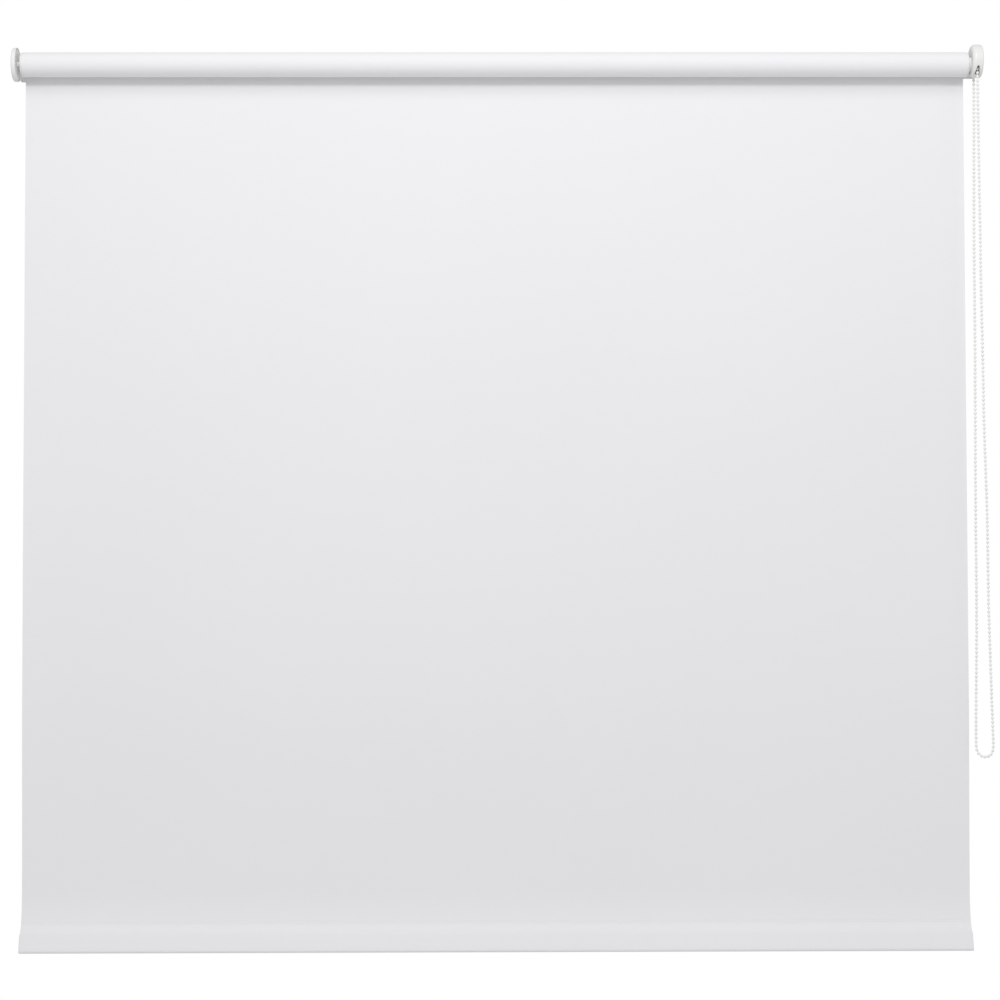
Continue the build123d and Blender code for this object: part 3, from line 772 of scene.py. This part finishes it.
@dataclass
class Cloth:
    """The cloth that is wound on the tube and the cloth that hangs from it."""

    thickness: float = 0.00028
    wraps: int = 8
    steps_per_turn: int = 72
    layer_gap: float = 0.00002
    wound_columns: int = 28
    stray: float = 0.00012
    stray_rate: float = 2.4
    stray_phase: float = 1.0
    stray_from: float = 0.9
    columns: int = 100
    rows: int = 100
    foot_rows: int = 24
    foot_share: float = 0.95
    top_share: float = 1 / 3
    ripple: float = 0.0007
    ripple_fade: float = 0.8
    waves: tuple[Wave, ...] = (Wave(0.6, 9.1, 0.7), Wave(0.4, 16.3, 2.0, 2.5))
    curl: float = 0.0011
    curl_reach: float = 0.018
    foot_lean: float = math.radians(15.0)
    foot_bend: float = 0.045
    foot_return: float = 0.30

    def __post_init__(self) -> None:
        """Takes the roll's and the drop's places from the frame."""
        low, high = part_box("fabric_roll")
        self.left, self.right = low.x, high.x
        self.axis_y = (low.y + high.y) / 2
        self.radius = (high.z - low.z) / 2
        drop_low, drop_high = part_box("fabric_drop")
        self.weld_y = (drop_low.y + drop_high.y) / 2
        self.weld_z = drop_low.z
        self.finish = FINISHES[Slot.CLOTH].build("cloth")
        wound = ClothFinish(wound=True, axis_y=self.axis_y, roll_radius=self.radius)
        self.wound_finish = wound.build("cloth_wound")

    def wind(self) -> bpy.types.Object:
        """The wound cloth as one spiral, whose outer end meets the hanging cloth at the back.

        Returns:
            The piece.
        """
        across = spaced(self.left, self.right, self.wound_columns)
        outer, inner = [], []
        for k in range(self.wraps * self.steps_per_turn + 1):
            turn = k / self.steps_per_turn
            angle = 2 * math.pi * turn
            ray = Vector((0, math.cos(angle), math.sin(angle)))
            outside = self.radius - self.thickness * turn
            inside = outside - self.thickness + self.layer_gap
            middle = [Vector((x, self.axis_y, 0)) + self.telescoped(x, turn) for x in across]
            outer.append([p + ray * outside for p in middle])
            inner.append([p + ray * inside for p in middle])
        draft = Draft()
        draft.shell(outer, inner)
        piece = draft.piece("wound_cloth", self.wound_finish)
        return hand_over(piece, Body.ROLLER, ["fabric_roll"])

    def telescoped(self, x: float, turn: float) -> Vector:
        """How far a layer's cut edge strays along the tube from its neighbours.

        Args:
            x: place across the blind.
            turn: turns of cloth outside this layer.

        Returns:
            The offset, outwards.
        """
        share = (abs(x) / self.right - self.stray_from) / (1 - self.stray_from)
        swing = math.sin(self.stray_rate * turn + self.stray_phase)
        outwards = max(-self.stray * swing * eased(share), 0.0)
        return Vector((math.copysign(outwards, x), 0, 0))

    def fall(self, x: float, share: float) -> float:
        """How far the hanging cloth stands off its plane, towards the wall.

        Args:
            x: place across the blind.
            share: 0 at the roll, 1 at the weld.

        Returns:
            The offset in metres.
        """
        slack = math.sin(math.pi * share) ** self.ripple_fade
        place = x / (self.right - self.left)
        wave = sum(each.at(place, share) for each in self.waves)
        edge = math.exp(-(self.right - abs(x)) / self.curl_reach)
        return slack * (self.ripple * wave - self.curl * edge)

    def bowed(self, height: float) -> float:
        """How far the cloth stands towards the wall where its foot bends into the leaning hem.

        Args:
            height: above the weld.

        Returns:
            The offset, which is nothing at the weld and dies away up the cloth.
        """
        bend = min(height, self.foot_bend)
        depth = math.tan(self.foot_lean) * (bend - bend * bend / (2 * self.foot_bend))
        return depth * (1 - eased((height - self.foot_bend) / self.foot_return))

    def hang(self) -> bpy.types.Object:
        """The hanging cloth, from the back of the roll to the weld.

        Returns:
            The piece.
        """
        across = spaced(self.left, self.right, self.columns)
        top_y = self.axis_y + self.radius - self.thickness / 2
        half = Vector((0, self.thickness / 2, 0))
        shares = spaced(0.0, self.foot_share, self.rows)
        shares += spaced(self.foot_share, 1.0, self.foot_rows)[1:]
        front, back = [], []
        for share in shares:
            z = self.weld_z * share
            plane_y = top_y + (self.weld_y - top_y) * eased(share / self.top_share)
            plane_y += self.bowed(z - self.weld_z)
            middle = [Vector((x, plane_y + self.fall(x, share), z)) for x in across]
            front.append([p - half for p in middle])
            back.append([p + half for p in middle])
        draft = Draft()
        draft.shell(back, front)
        piece = draft.piece("hanging_cloth", self.finish)
        hand_over(piece, Body.FIXED, ["fabric_drop"])
        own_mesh(piece)
        return piece


@dataclass
class Hem:
    """The pocket at the cloth's foot, welded shut over the bottom bar."""

    cloth: Cloth
    lean: float = math.radians(18.0)
    bar_width: float = 0.028
    bar_thickness: float = 0.0065
    weld_to_bar: float = 0.028
    slack: float = 0.0003
    seam_share: float = 0.55
    straight_share: float = 0.25
    swell_steps: int = 16
    side_steps: int = 4
    bend_steps: int = 12
    tail: float = 0.0042
    tail_steps: int = 5
    tail_stand_off: float = 1.15
    tail_drift: float = 0.00012
    pucker: float = 0.00010
    pucker_below: float = 0.006
    pucker_reach: float = 0.005
    puckers: tuple[Wave, ...] = (
        Wave(0.6, 171.0, -math.pi / 2),
        Wave(0.4, 83.0, 1.3 - math.pi / 2),
    )
    columns: int = 200
    weld_band: float = 0.0022
    weld_rise: float = 0.0001
    weld_rib: float = 0.0009
    weld_crown: float = 1.3
    weld_margin: float = 0.0004
    weld_sink: float = 0.00004
    weld_rows: int = 4
    weld_columns: int = 1400

    def outline(self) -> Profile:
        """The middle of the cloth round the bar, in the hem's plane.

        Returns:
            Places across and up, from the front of the weld round the bar to its back.
        """
        half = self.bar_thickness / 2 + self.slack + self.cloth.thickness / 2
        straight = (self.bar_width - self.bar_thickness) / 2
        shoulder = -self.weld_to_bar + straight
        foot = -self.weld_to_bar - straight
        seam = self.cloth.thickness * self.seam_share
        front = []
        for share in spaced(0.0, 1.0, self.swell_steps):
            swell = self.straight_share * share + (1 - self.straight_share) * eased(share)
            front.append((-(seam + (half - seam) * swell), shoulder * share))
        front += [(-half, up) for up in spaced(shoulder, foot, self.side_steps)[1:]]
        bend = [
            (-half * math.cos(angle), foot - half * math.sin(angle))
            for angle in spaced(0.0, math.pi, self.bend_steps)[1:-1]
        ]
        back = [(-across, up) for across, up in reversed(front)]
        return front + bend + back

    def place(self, x: float, across: float, up: float) -> Vector:
        """A point of the hem.

        Args:
            x: place along the hem.
            across: through its thickness, towards the wall.
            up: towards the weld and past it.

        Returns:
            The point, in the row frame.
        """
        y = self.cloth.weld_y + across * math.cos(self.lean) + up * math.sin(self.lean)
        z = self.cloth.weld_z - across * math.sin(self.lean) + up * math.cos(self.lean)
        return Vector((x, y, z))

    def fold(self) -> bpy.types.Object:
        """The pocket, puckered a little below its weld, with the cut tail up the back.

        Returns:
            The piece.
        """
        middle = self.outline()
        half = self.cloth.thickness / 2
        for k in range(1, self.tail_steps + 1):
            up = self.tail * k / self.tail_steps
            off = self.cloth.thickness * self.tail_stand_off + self.tail_drift * k
            middle.append((off - up * math.tan(self.lean), up))
        columns = spaced(self.cloth.left, self.cloth.right, self.columns)
        outside, inside = [], []
        for k, (across, up) in enumerate(middle):
            before = middle[max(k - 1, 0)]
            after = middle[min(k + 1, len(middle) - 1)]
            run = Vector((after[0] - before[0], after[1] - before[1])).normalized()
            normal = Vector((run.y, -run.x))
            for rows, off in ((outside, half), (inside, -half)):
                rows.append(
                    [
                        self.place(
                            x,
                            across + normal.x * (off + self.puckered(x, up)),
                            up + normal.y * off,
                        )
                        for x in columns
                    ]
                )
        draft = Draft()
        draft.shell(outside, inside)
        piece = draft.piece("hem_cloth", self.cloth.finish)
        return hand_over(piece, Body.HEM, ["hem_pocket"])

    def puckered(self, x: float, up: float) -> float:
        """Small pulls in the cloth, strongest a few millimetres below the weld."""
        near = math.exp(-(((up + self.pucker_below) / self.pucker_reach) ** 2))
        return self.pucker * near * sum(each.at(x) for each in self.puckers)

    def weld(self) -> bpy.types.Object:
        """The pressed weld: a narrow ribbed band across the front of the cloth.

        Returns:
            The piece.
        """
        left = self.cloth.left + self.weld_margin
        columns = spaced(left, self.cloth.right - self.weld_margin, self.weld_columns)
        face = self.cloth.weld_y - self.cloth.thickness / 2
        front, back = [], []
        for share in spaced(0.0, 1.0, self.weld_rows):
            rise = self.weld_rise * math.sin(math.pi * share)
            height = self.weld_margin + self.weld_band * share
            z = self.cloth.weld_z + height
            skin = face + self.cloth.bowed(height)
            ribs = [self.weld_crown + math.sin(2 * math.pi * x / self.weld_rib) for x in columns]
            front.append([Vector((x, skin - rise * rib, z)) for x, rib in zip(columns, ribs)])
            back.append([Vector((x, skin + self.weld_sink, z)) for x in columns])
        draft = Draft()
        draft.shell(front, back)
        return hand_over(draft.piece("hem_weld", self.cloth.finish), Body.HEM)


# ---------------------------------------------------------------- bead chain


@dataclass
class BeadChain:
    """The endless bead chain: over the wheel, and down as a free loop."""

    pitch: float = 0.006
    bead_radius: float = 0.00225
    thread_radius: float = 0.0006
    pockets: int = 14
    hanging_beads: int = 3
    bead_sides: int = 14
    thread_sides: int = 8
    thread_steps: int = 2
    wheel_steps: int = 56
    drop_steps: int = 12
    line_steps: int = 24
    guide: Point = (1.0, 0.02, 0.0)
    # Half a bead's outline, from one end to its middle: place along and radius, as shares.
    bead_half: tuple[tuple[float, float], ...] = (
        (-0.94, 0.34),
        (-0.88, 0.5),
        (-0.7, 0.72),
        (-0.4, 0.92),
        (-0.1, 0.995),
    )
    # Each point is beyond the wheel's middle plane, from the tube's axis to the wall, and height.
    strand_front: tuple[Point, ...] = (
        (0.0, -0.01337, -0.018),
        (0.0, -0.01337, -0.066),
        (0.0005, -0.0134, -0.124),
        (0.0009, -0.0133, -0.184),
        (0.0016, -0.0133, -0.246),
        (0.0018, -0.0132, -0.308),
        (0.0025, -0.0132, -0.370),
        (0.0036, -0.0131, -0.432),
        (0.0041, -0.0131, -0.494),
        (0.0049, -0.0130, -0.556),
        (0.0068, -0.0129, -0.618),
        (0.0081, -0.0127, -0.680),
        (0.0085, -0.0125, -0.742),
        (0.0087, -0.0122, -0.804),
        (0.0103, -0.0120, -0.864),
        (0.0116, -0.0117, -0.916),
        (0.0127, -0.0114, -0.957),
        (0.0139, -0.0110, -0.994),
    )
    loop_foot: tuple[Point, ...] = (
        (0.0146, -0.0106, -1.018),
        (0.0085, -0.0045, -1.027),
        (-0.0005, 0.0044, -1.027),
        (-0.0067, 0.0106, -1.018),
    )
    strand_back: tuple[Point, ...] = (
        (-0.0065, 0.0110, -0.995),
        (-0.0060, 0.0114, -0.958),
        (-0.0053, 0.0117, -0.916),
        (-0.0041, 0.0120, -0.862),
        (-0.0035, 0.0123, -0.800),
        (-0.0035, 0.0125, -0.740),
        (-0.0036, 0.0126, -0.678),
        (-0.0033, 0.0129, -0.618),
        (-0.0028, 0.0130, -0.558),
        (-0.0025, 0.0131, -0.498),
        (-0.0020, 0.0131, -0.436),
        (-0.0018, 0.0132, -0.374),
        (-0.0020, 0.0132, -0.312),
        (-0.0019, 0.0133, -0.250),
        (-0.0012, 0.0133, -0.190),
        (-0.0008, 0.0134, -0.128),
        (0.0, 0.01337, -0.068),
        (0.0, 0.01337, -0.018),
    )

    def __post_init__(self) -> None:
        """Takes the wheel's middle plane and the axis from the frame."""
        low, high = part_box("chain_wrap")
        self.plane_x = (low.x + high.x) / 2
        self.axis_y = (low.y + high.y) / 2
        self.wheel_radius = self.pockets * self.pitch / (2 * math.pi)
        self.exit_z = -self.hanging_beads * self.pitch
        self.bead_finish = FINISHES[Slot.BEAD].build("bead")
        self.thread_finish = ThreadFinish().build("thread")

    def route(self) -> list[Vector]:
        """The loop's route points, in the row frame."""
        points = (*self.strand_front, *self.loop_foot, *self.strand_back)
        return [Vector((self.plane_x + x, self.axis_y + d, z)) for x, d, z in points]

    def line(self) -> list[Vector]:
        """The chain's smooth line: points read from one spline through the route.

        Returns:
            The points, from the front mouth to the back one.
        """
        curve = bpy.data.curves.new("chain_line", "CURVE")
        curve.dimensions = "3D"
        curve.resolution_u = self.line_steps
        points = self.route()
        spline = curve.splines.new("NURBS")
        spline.points.add(len(points) - 1)
        for control, point in zip(spline.points, points):
            control.co = (*point, 1.0)
        spline.order_u = 3
        spline.use_endpoint_u = True
        holder = bpy.data.objects.new("chain_line", curve)
        mesh = bpy.data.meshes.new_from_object(holder)
        read = [v.co.copy() for v in mesh.vertices]
        bpy.data.objects.remove(holder)
        bpy.data.meshes.remove(mesh)
        bpy.data.curves.remove(curve)
        return read

    def beside_axis(self, across: float, z: float) -> Vector:
        """A point in the wheel's middle plane."""
        return Vector((self.plane_x, self.axis_y + across, z))

    def over_wheel(self) -> list[Vector]:
        """The chain's line from one mouth, over the wheel, to the other mouth.

        Returns:
            The points.
        """
        radius = self.wheel_radius
        rise = [self.beside_axis(radius, z) for z in spaced(self.exit_z, 0.0, self.drop_steps)]
        turn = [
            self.beside_axis(radius * math.cos(angle), radius * math.sin(angle))
            for angle in spaced(0.0, math.pi, self.wheel_steps)[1:-1]
        ]
        drop = [self.beside_axis(-radius, z) for z in spaced(0.0, self.exit_z, self.drop_steps)]
        return rise + turn + drop

    def walk(self, line: Sequence[Vector], count: int) -> list[tuple[Vector, Vector]]:
        """Even steps along a line.

        Args:
            line: the line's points.
            count: how many steps; a place is at the middle of each.

        Returns:
            Pairs of place and direction.
        """
        runs = [(b - a).length for a, b in zip(line, line[1:])]
        step = sum(runs) / count
        places, walked, k = [], 0.0, 0
        for number in range(count):
            target = (number + 0.5) * step
            while walked + runs[k] < target:
                walked += runs[k]
                k += 1
            share = (target - walked) / runs[k]
            places.append((line[k].lerp(line[k + 1], share), (line[k + 1] - line[k]).normalized()))
        return places

    def bead(self, place: Vector, way: Vector) -> list[list[Vector]]:
        """One bead's rings, from end to end.

        Args:
            place: the bead's middle.
            way: the chain's direction there.

        Returns:
            The rings.
        """
        outline = [*self.bead_half, *((-along, wide) for along, wide in reversed(self.bead_half))]
        size = self.bead_radius
        return [
            ring(place + way * size * along, way, self.guide, size * wide, self.bead_sides)
            for along, wide in outline
        ]

    def string(self, name: str, line: Sequence[Vector], beads: int) -> bpy.types.Object:
        """Beads and the thread through them, along a line.

        Args:
            name: the piece's name.
            line: the line's points.
            beads: how many beads.

        Returns:
            The piece.
        """
        draft = Draft()
        for place, way in self.walk(line, beads):
            draft.tube(self.bead(place, way))
        bead_faces = len(draft.faces)
        thread = [(line[0], (line[1] - line[0]).normalized())]
        thread += self.walk(line, beads * self.thread_steps)
        thread += [(line[-1], (line[-1] - line[-2]).normalized())]
        radius, sides = self.thread_radius, self.thread_sides
        draft.tube([ring(place, way, self.guide, radius, sides) for place, way in thread])
        piece = draft.piece(name, self.bead_finish)
        piece.data.materials.append(self.thread_finish)
        for polygon in piece.data.polygons[bead_faces:]:
            polygon.material_index = 1
        return piece

    def build(self) -> None:
        on_wheel = self.string(
            "chain_on_wheel", self.over_wheel(), self.pockets // 2 + 2 * self.hanging_beads
        )
        hand_over(on_wheel, Body.FIXED, ["chain_wrap"])
        line = self.line()
        length = sum((b - a).length for a, b in zip(line, line[1:]))
        loop = self.string("chain_free_loop", line, round(length / self.pitch))
        hand_over(loop, Body.FIXED, ["chain_loop"])
        log.info("free loop of chain is %.4f m long", length)


# ---------------------------------------------------------------- idle end's spring


@dataclass
class IdleSpring:
    """The coil spring that pushes the idle pin out, with a closed turn at each end."""

    turns: int = 9
    closed_turns: float = 1.0
    wire_radius: float = 0.0006
    steps_per_turn: int = 32
    wire_sides: int = 12
    guide: Point = (1.0, 0.0, 0.0)

    def __post_init__(self) -> None:
        """Takes the spring's place from the frame."""
        low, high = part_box("idle_spring")
        self.start_x, self.length = low.x, high.x - low.x
        self.axis_y = (low.y + high.y) / 2
        self.axis_z = (low.z + high.z) / 2
        self.radius = (high.z - low.z) / 2 - self.wire_radius

    def centre(self, turn: float) -> Vector:
        """The wire's centre after a number of turns.

        Args:
            turn: turns from the spring's outer end.

        Returns:
            The point, in the row frame.
        """
        wire = 2 * self.wire_radius
        open_turns = self.turns - 2 * self.closed_turns
        open_length = self.length - wire - 2 * self.closed_turns * wire
        share = min(max((turn - self.closed_turns) / open_turns, 0.0), 1.0)
        last = max(turn - self.turns + self.closed_turns, 0.0)
        along = share * open_length + (min(turn, self.closed_turns) + last) * wire
        angle = 2 * math.pi * turn
        y = self.axis_y + self.radius * math.cos(angle)
        z = self.axis_z + self.radius * math.sin(angle)
        return Vector((self.start_x + self.wire_radius + along, y, z))

    def build(self) -> bpy.types.Object:
        """Makes the spring, which rides on the pin.

        Returns:
            The piece.
        """
        steps = self.turns * self.steps_per_turn
        line = [self.centre(turn) for turn in spaced(0.0, self.turns, steps)]
        ways = [line[min(k + 1, steps)] - line[max(k - 1, 0)] for k in range(steps + 1)]
        draft = Draft()
        draft.tube(
            [
                ring(place, way.normalized(), self.guide, self.wire_radius, self.wire_sides)
                for place, way in zip(line, ways)
            ]
        )
        piece = draft.piece("idle_coil", FINISHES[Slot.SPRING].build("coiled_wire"))
        hand_over(piece, Body.PIN, ["idle_spring"])
        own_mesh(piece)
        return piece


# ---------------------------------------------------------------- hardware


@dataclass
class Hardware:
    """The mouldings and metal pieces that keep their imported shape."""

    replaced: tuple[str, ...] = (
        "fabric_roll",
        "fabric_drop",
        "hem_pocket",
        "chain_wrap",
        "chain_loop",
        "idle_spring",
    )

    def dress(self) -> None:
        """Gives each piece the finish of its material slot."""
        slots = {s["node"]: Slot(s["material_slot"]) for s in frame["record"]["subparts"]}
        built: dict[Slot, bpy.types.Material] = {}
        for name, node in sorted(frame["nodes"].items()):
            if name in self.replaced:
                continue
            slot = slots[name]
            if slot not in built:
                built[slot] = FINISHES[slot].build(slot.value)
            for holder in node.material_slots:
                holder.material = built[slot]
            if not node.material_slots:
                node.data.materials.append(built[slot])
            log.info("%s wears %s", name, slot.value)


# ---------------------------------------------------------------- stage


@dataclass(frozen=True)
class Softbox:
    """A rectangular soft light."""

    name: str
    place: Point
    target: Point
    size: tuple[float, float]
    power: float

    def light(self) -> None:
        """Sets the light up, facing its target."""
        data = bpy.data.lights.new(self.name, "AREA")
        data.shape = "RECTANGLE"
        data.size, data.size_y = self.size
        data.energy = self.power
        holder = bpy.data.objects.new(self.name, data)
        bpy.context.scene.collection.objects.link(holder)
        holder.location = self.place
        way = Vector(self.target) - Vector(self.place)
        holder.rotation_euler = way.to_track_quat("-Z", "Y").to_euler()


@dataclass
class Stage:
    """Camera, soft studio light and a plain pale floor."""

    camera_place: Point = (-0.0198, -3.440, -0.7752)
    yaw: float = math.radians(-0.434)
    pitch: float = math.radians(2.154)
    roll: float = math.radians(0.11)
    lens: float = 83.0
    sensor: float = 36.0
    nearest: float = 0.01
    farthest: float = 50.0
    surround: float = 0.54
    floor_z: float = -1.80
    floor_half_width: float = 4.0
    floor_near: float = -5.0
    floor_far: float = 1.6
    floor_colour: Colour = (0.88, 0.88, 0.88)
    floor_roughness: float = 0.9
    lights: tuple[Softbox, ...] = (
        Softbox("key", (0.0, -2.55, 1.05), (0.0, 0.0, -0.35), (0.9, 0.5), 24.0),
        Softbox("high", (0.0, -2.1, 1.75), (0.0, 0.0, -0.35), (1.1, 0.9), 15.0),
        Softbox("side_right", (2.6, -1.7, 0.0), (-0.7, 0.0, -0.5), (0.8, 1.4), 4.5),
        Softbox("side_left", (-2.6, -1.7, 0.0), (0.7, 0.0, -0.5), (0.8, 1.4), 4.5),
    )

    def camera(self) -> None:
        """Sets the camera square to the blind, a little below its middle."""
        data = bpy.data.cameras.new("camera")
        data.lens = self.lens
        data.sensor_width = self.sensor
        data.clip_start = self.nearest
        data.clip_end = self.farthest
        holder = bpy.data.objects.new("camera", data)
        bpy.context.scene.collection.objects.link(holder)
        turn = Matrix.Rotation(self.yaw, 4, "Z") @ Matrix.Rotation(self.pitch, 4, "X")
        turn = turn @ Matrix.Rotation(self.roll, 4, "Y") @ Matrix.Rotation(math.pi / 2, 4, "X")
        holder.matrix_world = Matrix.Translation(self.camera_place) @ turn
        bpy.context.scene.camera = holder

    def sky(self) -> None:
        """An even white surround, dimmer as light than it looks."""
        white = (1.0, 1.0, 1.0, 1.0)
        world = bpy.data.worlds.new("studio")
        world.use_nodes = True
        bpy.context.scene.world = world
        wiring = Wiring(world.node_tree)
        nodes = world.node_tree.nodes
        seen = wiring.node("ShaderNodeBackground", Color=white, Strength=1.0)
        lit = nodes["Background"]
        lit.inputs["Color"].default_value = white
        lit.inputs["Strength"].default_value = self.surround
        path = wiring.node("ShaderNodeLightPath")
        either = wiring.node("ShaderNodeMixShader")
        wiring.feed(either.inputs[0], path.outputs["Is Camera Ray"])
        wiring.feed(either.inputs[1], lit.outputs[0])
        wiring.feed(either.inputs[2], seen.outputs[0])
        wiring.feed(nodes["World Output"].inputs["Surface"], either.outputs[0])

    def floor(self) -> None:
        """The plain pale floor."""
        material, _, shader = new_material("floor")
        shader.inputs["Base Color"].default_value = scaled(self.floor_colour)
        shader.inputs["Roughness"].default_value = self.floor_roughness
        wide = (-self.floor_half_width, self.floor_half_width)
        deep = (self.floor_near, self.floor_far)
        draft = Draft()
        draft.grid([[Vector((x, y, self.floor_z)) for x in wide] for y in deep])
        draft.piece("floor", material)

    def build(self) -> None:
        """Sets the whole stage."""
        self.camera()
        self.sky()
        for softbox in self.lights:
            softbox.light()
        self.floor()
        bpy.context.scene.view_settings.view_transform = "Standard"


def main() -> None:
    """Builds the stage, the chain, the cloth, the hem, the spring and the hardware, in that order."""
    logging.basicConfig(level=logging.INFO, format="%(name)s: %(message)s")
    Stage().build()
    BeadChain().build()
    cloth = Cloth()
    roll = cloth.wind()
    sheet = cloth.hang()
    hem = Hem(cloth)
    pocket = hem.fold()
    weld = hem.weld()
    IdleSpring().build()
    Hardware().dress()


if __name__ == "__main__":
    main()
